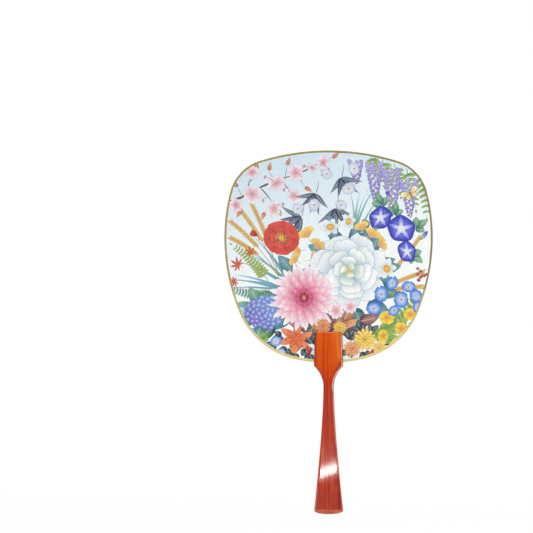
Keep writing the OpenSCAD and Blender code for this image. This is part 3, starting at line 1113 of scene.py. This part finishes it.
end_z = -90.0
head_top = 110.6
corner_r = 2
shoulder_z = 73.0
shoulder_r = 32
nick_z = 56.8
nick_depth = 0.4
nick_h = 0.55
neck_z = 49.3
bend_z = -20.0
bend_r = 143.85
bend_angle = 28.0
bend_sag = 0.0037
slot_bottom = 76.3
slot_t = 1.0
head_w = 32.2
head_top_w = 29.8
neck_w = 11.2
end_w = 32.4
flare = 1.4
head_t = 7.0
end_t = 10.5
end_edge_t = 1.4
bevel = 0.9
facets_w = 1.9
ridge_w = 0.85
ridge_t = 0.45
top_round = 0.6
end_round = 0.5


def half_width(z):
    """Half of the handle's width: straight up the head, in along an arc below its shoulders, then out
    again by a power of the way down. Rounded top corners, and a nick where the shoulder's cut ends."""
    side = (head_w + (head_top_w - head_w) * (z - shoulder_z) / (head_top - shoulder_z)) / 2
    corner = np.clip(z - (head_top - corner_r), 0, corner_r)
    side = side - corner_r + np.sqrt(corner_r**2 - corner**2)
    hollow = np.sqrt(shoulder_r**2 - np.clip(z - neck_z, 0, shoulder_z - neck_z) ** 2)
    shoulder = neck_w / 2 + shoulder_r - hollow
    grip = (neck_w + (end_w - neck_w) * share_of_grip(z) ** flare) / 2
    nick = nick_depth * np.exp(-(((z - nick_z) / nick_h) ** 2))
    return np.where(z > shoulder_z, side, np.where(z > neck_z, shoulder, grip)) - nick


def share_of_grip(z):
    """0 at the neck and above, 1 at the end."""
    return np.clip((neck_z - z) / (neck_z - end_z), 0, 1)


def soft_chain(corners, softs):
    """Points along a chain of straight runs whose corners are rounded.

    At each corner between the two ends, a curve with that corner as its control point starts and stops
    soft away from it. One more point on each run keeps the run flat.
    """
    ahead = np.diff(corners, axis=1)
    ahead = ahead / np.linalg.norm(ahead, axis=2, keepdims=True)
    points = [corners[:, 0]]
    for k, soft in enumerate(softs, 1):
        corner, before, after = corners[:, k], ahead[:, k - 1], ahead[:, k]
        points.append(corner - 1.2 * soft * before)
        for q in (0, 0.33, 0.67, 1):
            points.append(corner + soft * (q * q * after - (1 - q) ** 2 * before))
        points.append(corner + 1.2 * soft * after)
    return np.stack(points + [corners[:, -1]], 1)


def handle_sections(z, trim):
    """Cross sections at heights z, as rows of points (x, y) about the middle line, without its bend.

    A section is flat in front, with two hand-cut facets down to a flat edge on each side. Its back is
    flat with round edges on the head, and turns into half an ellipse at the end. trim makes it thinner.
    Returns the front half, from the left side's cut to the right side's, and the back half.
    """
    share = share_of_grip(z)
    w = half_width(z)
    t = head_t + (end_t - head_t) * share - 2 * trim
    edge_t = head_t - 2 * bevel + (end_edge_t - head_t + 2 * bevel) * share
    side_y = bevel - t / 2
    middle_y = side_y + edge_t / 2 - trim
    cut_y = slot_t / 2 * edge_t / (head_t - 2 * bevel)
    nought = np.zeros(len(z))
    quarter = soft_chain(np.stack([
        np.stack([nought, -t / 2], 1), np.stack([w - facets_w, -t / 2], 1),
        np.stack([w - ridge_w, ridge_t - t / 2], 1), np.stack([w, side_y + 0.1], 1),
        np.stack([w, middle_y - cut_y], 1)], 1), (0.35, 0.2, 0.15))
    front = np.concatenate([quarter[:, :0:-1] * [-1, 1], quarter], 1)
    turns = np.radians(np.linspace(0, 90, 9))
    flat = ((w - bevel) * (1 - share))[:, None]
    rise = np.maximum(t / 2 - middle_y - cut_y - 0.3, 0.1)[:, None]
    arc = np.stack([flat + (w[:, None] - flat) * np.cos(turns),
                    t[:, None] / 2 - rise * (1 - np.sin(turns))], 2)
    cut = np.stack([w, middle_y + cut_y], 1)[:, None]
    middle = np.stack([nought, t / 2], 1)[:, None]
    back = np.concatenate([cut, arc, middle], 1)
    return front, np.concatenate([back, back[:, -2::-1] * [-1, 1]], 1)


def handle_rings():
    """The sections from the top of the head to the end, each square on the middle line, which runs
    straight down and then forward along an arc. They stand closest at the head's rounded corners and
    at the nick, and the last ones round off the end and its face."""
    turn = np.radians(np.linspace(0, 90, 6))
    bend_turn = np.radians(np.linspace(0.7, bend_angle - 0.2, 40))
    z = np.concatenate([
        head_top - top_round * (1 - np.cos(turn)), np.linspace(head_top - 0.8, head_top - corner_r, 5),
        np.linspace(head_top - 4, slot_bottom, 12), np.linspace(slot_bottom - 1, shoulder_z, 3),
        np.linspace(shoulder_z - 0.25, nick_z + 2.2, 18), np.linspace(nick_z + 1.6, nick_z - 1.6, 12),
        np.linspace(nick_z - 2.3, neck_z, 6), np.linspace(neck_z - 2, bend_z, 30),
        bend_z - bend_r * np.sin(bend_turn),
    ])
    trim = np.zeros(len(z))
    trim[:len(turn)] = top_round * (1 - np.sin(turn))
    front, back = handle_sections(z, trim)
    rings = np.concatenate([front, back], 1)

    inwards = np.append(end_round * (1 - np.cos(turn[1:])), end_round + 0.4)
    onwards = np.append(end_round * np.sin(turn[1:]), end_round)
    centre = rings[-1].mean(0)
    out = rings[-1] - centre
    out = out / np.linalg.norm(out, axis=1, keepdims=True)
    rings = np.concatenate([rings, rings[-1] - inwards[:, None, None] * out])
    onwards = np.concatenate([np.zeros(len(z)), onwards])
    z = np.concatenate([z, np.full(len(inwards), z[-1])])

    slope = np.arcsin(np.clip((bend_z - z) / bend_r, 0, 1))
    y = -bend_r * (1 - np.cos(slope)) - onwards * np.sin(slope)
    height = z - onwards * np.cos(slope)
    return np.stack([
        rings[..., 0],
        y[:, None] + rings[..., 1] * np.cos(slope)[:, None],
        height[:, None] - rings[..., 1] * np.sin(slope)[:, None],
    ], -1), z, front.shape[1]


def handle_mesh():
    """The handle's skin, with the saw cut that holds the face: the strips along both sides stop at the
    cut's bottom, and above it two walls and a floor close the cut."""
    rings, z, cut = handle_rings()
    rows, columns = rings.shape[:2]
    grid = np.arange(rows * columns).reshape(rows, columns)
    floor = int(np.argmin(np.abs(z - slot_bottom)))
    front, back = grid[:, :cut], grid[:, cut:]
    faces = quads(front) + quads(back)
    for strip in (grid[floor:, [cut - 1, cut]], grid[floor:, [-1, 0]],
                  front[:floor + 1, [-1, 0]], back[:floor + 1, [-1, 0]]):
        faces += quads(strip)
    faces.append(grid[floor, [0, -1, cut, cut - 1]].tolist())
    faces += [front[0][::-1].tolist(), back[0][::-1].tolist(), grid[-1].tolist()]
    mesh = bpy.data.meshes.new("lacquered_handle")
    mesh.from_pydata(rings.reshape(-1, 3) * mm, [], faces)
    mesh.flip_normals()
    mesh.shade_smooth()
    mesh.set_sharp_from_angle(angle=math.radians(55))

    # 3 on the side's flat edge, 2 on the outer facet, 1 on the inner one and 0 on the flat front. The
    # six rings that round off the end count as an outer facet
    facet = np.zeros((rows, columns))
    half = cut // 2
    facet[:, :half] = np.interp(np.arange(half), [1, 6, 7, 12, 13, 18], [3, 2, 2, 1, 1, 0])
    facet[:, cut - half:cut] = facet[:, half - 1::-1]
    facet[-6:] = np.maximum(facet[-6:], 2)
    across = rings[..., 0] / np.abs(rings[..., 0]).max(1, keepdims=True)
    record(mesh, "facet", "FLOAT", "POINT", facet)
    record(mesh, "across", "FLOAT", "POINT", across)
    return mesh


def lacquer():
    """Stained bamboo under lacquer: orange on the head and red-brown below, in long streaks that run
    lighter and darker and follow the bend.

    The head's right side is painted lighter, as painted light, and its left edge and the outer facets of
    head and neck darker, as painted shade; a strip down the grip's right side is painted darker as
    painted shade. The front is darker on the right at the shoulder, and a dark line runs along the edge
    of the head's right facet. A pale painted highlight lies on the inner facet under the right
    shoulder. The grip's outer facets and its end are rubbed to orange. The lacquer lies in ripples,
    and its slow twist below the neck sets the band of light aslant.
    """
    made, shader, place = material("lacquered_bamboo")
    x, y, z = place.part(0), place.part(1), place.part(2)
    across, facet = place.attribute("across", 2), place.attribute("facet", 2)
    right = x.step(-1, 1)
    height = (z - end_z) / (head_top - end_z)
    stops = [(0.0, seen(172, 58, 42)), (0.25, seen(183, 64, 46)), (0.6, seen(180, 60, 42)),
             (0.72, seen(190, 55, 19)), (0.82, seen(212, 75, 9)), (1.0, seen(220, 86, 11))]
    stain_and_painted_light = height.node("ShaderNodeValToRGB", {"stops": stops}, {"Fac": height})
    head = height.step(0.68, 0.8)
    # Painted light: the right side of the head's front is painted a lighter orange.
    stain_and_painted_light = (height.step(0.78, 0.88) * across.step(0.1, 1.0)).blend(stain_and_painted_light, seen(234, 118, 39))
    # Painted shade: the head's left edge is painted darker.
    stain_and_painted_light = (head * (1 - across.step(-1.0, -0.8))).blend(stain_and_painted_light, seen(179, 49, 9))
    # A dark line is painted along the edge of the head's right facet.
    dark_facet_line = head * across.step(0.8, 0.85) * (1 - across.step(0.87, 0.9))
    stain_and_painted_light = (dark_facet_line * 0.8).blend(stain_and_painted_light, seen(158, 50, 14))
    # Painted shade: a strip down the right side of the grip is painted darker.
    stain_and_painted_light = ((1 - head) * across.step(0.5, 0.95)).blend(stain_and_painted_light, seen(158, 46, 39))
    shoulder = height.step(0.66, 0.7) * (1 - height.step(0.82, 0.86))
    stain_and_painted_light = (shoulder * across.step(0.5, 0.85)).blend(stain_and_painted_light, seen(164, 50, 26))

    below = place.math("MAXIMUM", bend_z - z, 0.0)
    y = y + below * below * bend_sag
    fibres = place.spot(x * 0.52, y * 0.52, z * 0.007).noise(1.0, 4.0, 0.75)
    fine = place.spot(x * 3, y * 3, z * 0.04).noise(1.0, 2.0)
    streak = (fibres * 0.8 + fine * 0.2).step(0.38, 0.62)
    dark = head.blend((0.76, 0.5, 0.56), (0.84, 0.66, 0.7))
    light = head.blend((1.22, 1.56, 1.4), (1.12, 1.3, 1.2))
    colour = stain_and_painted_light.tinted(streak.blend(dark, light))

    chips_and_glints = place.noise(0.5, 3.0, 0.7).step(0.35, 0.6)
    grip = 1 - height.step(0.62, 0.72)
    outer = facet.step(1.4, 1.7)
    inner = facet.step(0.3, 0.8) * (1 - outer)
    colour = (outer * grip * (0.55 + chips_and_glints * 0.45)).blend(colour, seen(220, 94, 22))
    # Painted shade: the outer facets of the head and neck are painted dark brown.
    colour = (outer * (1 - grip)).blend(colour, seen(104, 34, 18))
    # Painted highlight: a pale line on the inner facet under the right shoulder, broken up by the same noise
    # as the chips.
    colour = (inner * shoulder * right * (0.6 + chips_and_glints * 0.4)).blend(colour, seen(244, 200, 176))
    swell = grip * z.step(-66, -56) * 0.09 + 0.015
    ripple = place.spot(x * 0.42, y * 0.42, z * 0.3).noise(1.0, 3.0, 0.65) * swell
    twist = x * (z + 42) * 0.0028 * z.step(-68, -56) * (1 - z.step(-28, -16))
    relief = fibres * 0.004 + ripple - twist
    dull = grip * outer * 0.3 + z.step(-40, -30) * (1 - z.step(-20, -2)) * 0.09
    finish(shader, Base_Color=colour, Roughness=0.12 + fine * 0.04 + dull, Specular_IOR_Level=0.5,
           Normal=relief.bump(1.0, mm))
    return made


piece("lacquered_handle", handle_mesh(), "handle", lacquer())


# Floor, light and camera
# The fan stands on a plain pale floor in soft light. A lamp in front, above the camera, lights the
# curve of the grip, and a tall one on the right draws the line of light along the head's edge. Two
# broad ones, above on the left and behind, fill in the rest.

def camera_ray(tree):
    """1 for what the camera sees straight on, and 0 for the rest."""
    return Field(tree, tree.nodes.new("ShaderNodeLightPath").outputs["Is Camera Ray"])


def clear_ray(tree):
    """1 for what the camera sees straight on, in a reflection or through glass, and 0 for the rest."""
    outputs = tree.nodes.new("ShaderNodeLightPath").outputs
    return (Field(tree, outputs["Is Camera Ray"]) + Field(tree, outputs["Is Glossy Ray"])
            + Field(tree, outputs["Is Transmission Ray"]))


def pale_floor():
    """White board that the camera and reflections see almost as pure white, with a soft shadow."""
    made, shader, place = material("pale_floor")
    speckle = place.noise(0.02)
    finish(shader, Base_Color=speckle.blend(seen(244, 244, 242), seen(250, 250, 249)), Roughness=0.8)
    tree = made.node_tree
    glow = speckle.node("ShaderNodeEmission", None, {"Color": (1.0, 1.0, 1.0), "Strength": 1.0})
    surface = speckle.node("ShaderNodeMixShader", None, {
        0: clear_ray(tree) * 0.97, 1: Field(tree, shader.outputs[0]), 2: glow})
    tree.links.new(surface.socket, tree.nodes["Material Output"].inputs["Surface"])
    return made


floor_mesh = bpy.data.meshes.new("floor")
reach = 1.2
floor_z = end_z * mm - 0.0005
floor_mesh.from_pydata([(-reach, -reach, floor_z), (reach, -reach, floor_z), (reach, reach, floor_z),
                        (-reach, reach, floor_z)], [], [(0, 1, 2, 3)])
floor_mesh.materials.append(pale_floor())
placed("floor", floor_mesh)

# The room is white to the camera. Reflections see it white above and at the sides, and dim in front
# and behind, where a studio is dark. Matt surfaces get a third of its light
world = bpy.data.worlds.new("studio")
bpy.context.scene.world = world
world.use_nodes = True
tree = world.node_tree
ambient = Field(tree, tree.nodes["Background"].outputs[0])
ambient_inputs = tree.nodes["Background"].inputs
ambient_inputs["Color"].default_value = (1, 1, 1, 1)
ambient_inputs["Strength"].default_value = 0.35
facing = ambient.node("ShaderNodeTexCoord").part(1)
dim = facing.math("ABSOLUTE", facing).step(0.2, 0.8) * (1 - camera_ray(tree))
white = dim.node("ShaderNodeBackground", None, {"Color": (1.0, 1.0, 1.0), "Strength": 1 - dim * 0.94})
background = ambient.node("ShaderNodeMixShader", None, {0: clear_ray(tree), 1: ambient, 2: white})
tree.links.new(background.socket, tree.nodes["World Output"].inputs["Surface"])


def lamp(name, place, target, size, power):
    """A soft rectangular lamp that faces a point of the fan."""
    data = bpy.data.lights.new(name, "AREA")
    data.shape = "RECTANGLE"
    data.size, data.size_y = size
    data.energy = power
    made = placed(name, data)
    made.location = place
    away = np.array(place) - np.array(target)
    flat = math.hypot(away[0], away[1])
    made.rotation_euler = (math.atan2(flat, away[2]), 0, math.atan2(away[0], -away[1]))


lamp("front", (0.013, -2.5, 0.78), (0, 0, -0.04), (0.46, 0.3), 21)
lamp("right", (1.2, -0.98, 0.32), (0, 0, 0.1), (0.2, 0.57), 4.5)
lamp("above", (-1.3, -1.0, 1.9), (0, 0, 0.15), (1.4, 1.4), 10)
lamp("behind", (0.7, 2.0, 0.9), (0, 0, 0.15), (1.4, 1.4), 26)

# A long lens far off, so that the fan is seen almost without perspective
camera_data = bpy.data.cameras.new("camera")
camera = placed("camera", camera_data)
camera_data.sensor_width = 36
camera_data.lens = 800
view_width = 586.3
view_x = -68.3
view_z = 182.4
away = view_width * camera_data.lens / camera_data.sensor_width
camera.location = (view_x * mm, -away * mm, view_z * mm)
camera.rotation_euler = (math.pi / 2, 0, 0)
bpy.context.scene.camera = camera
bpy.context.scene.view_settings.view_transform = "Standard"
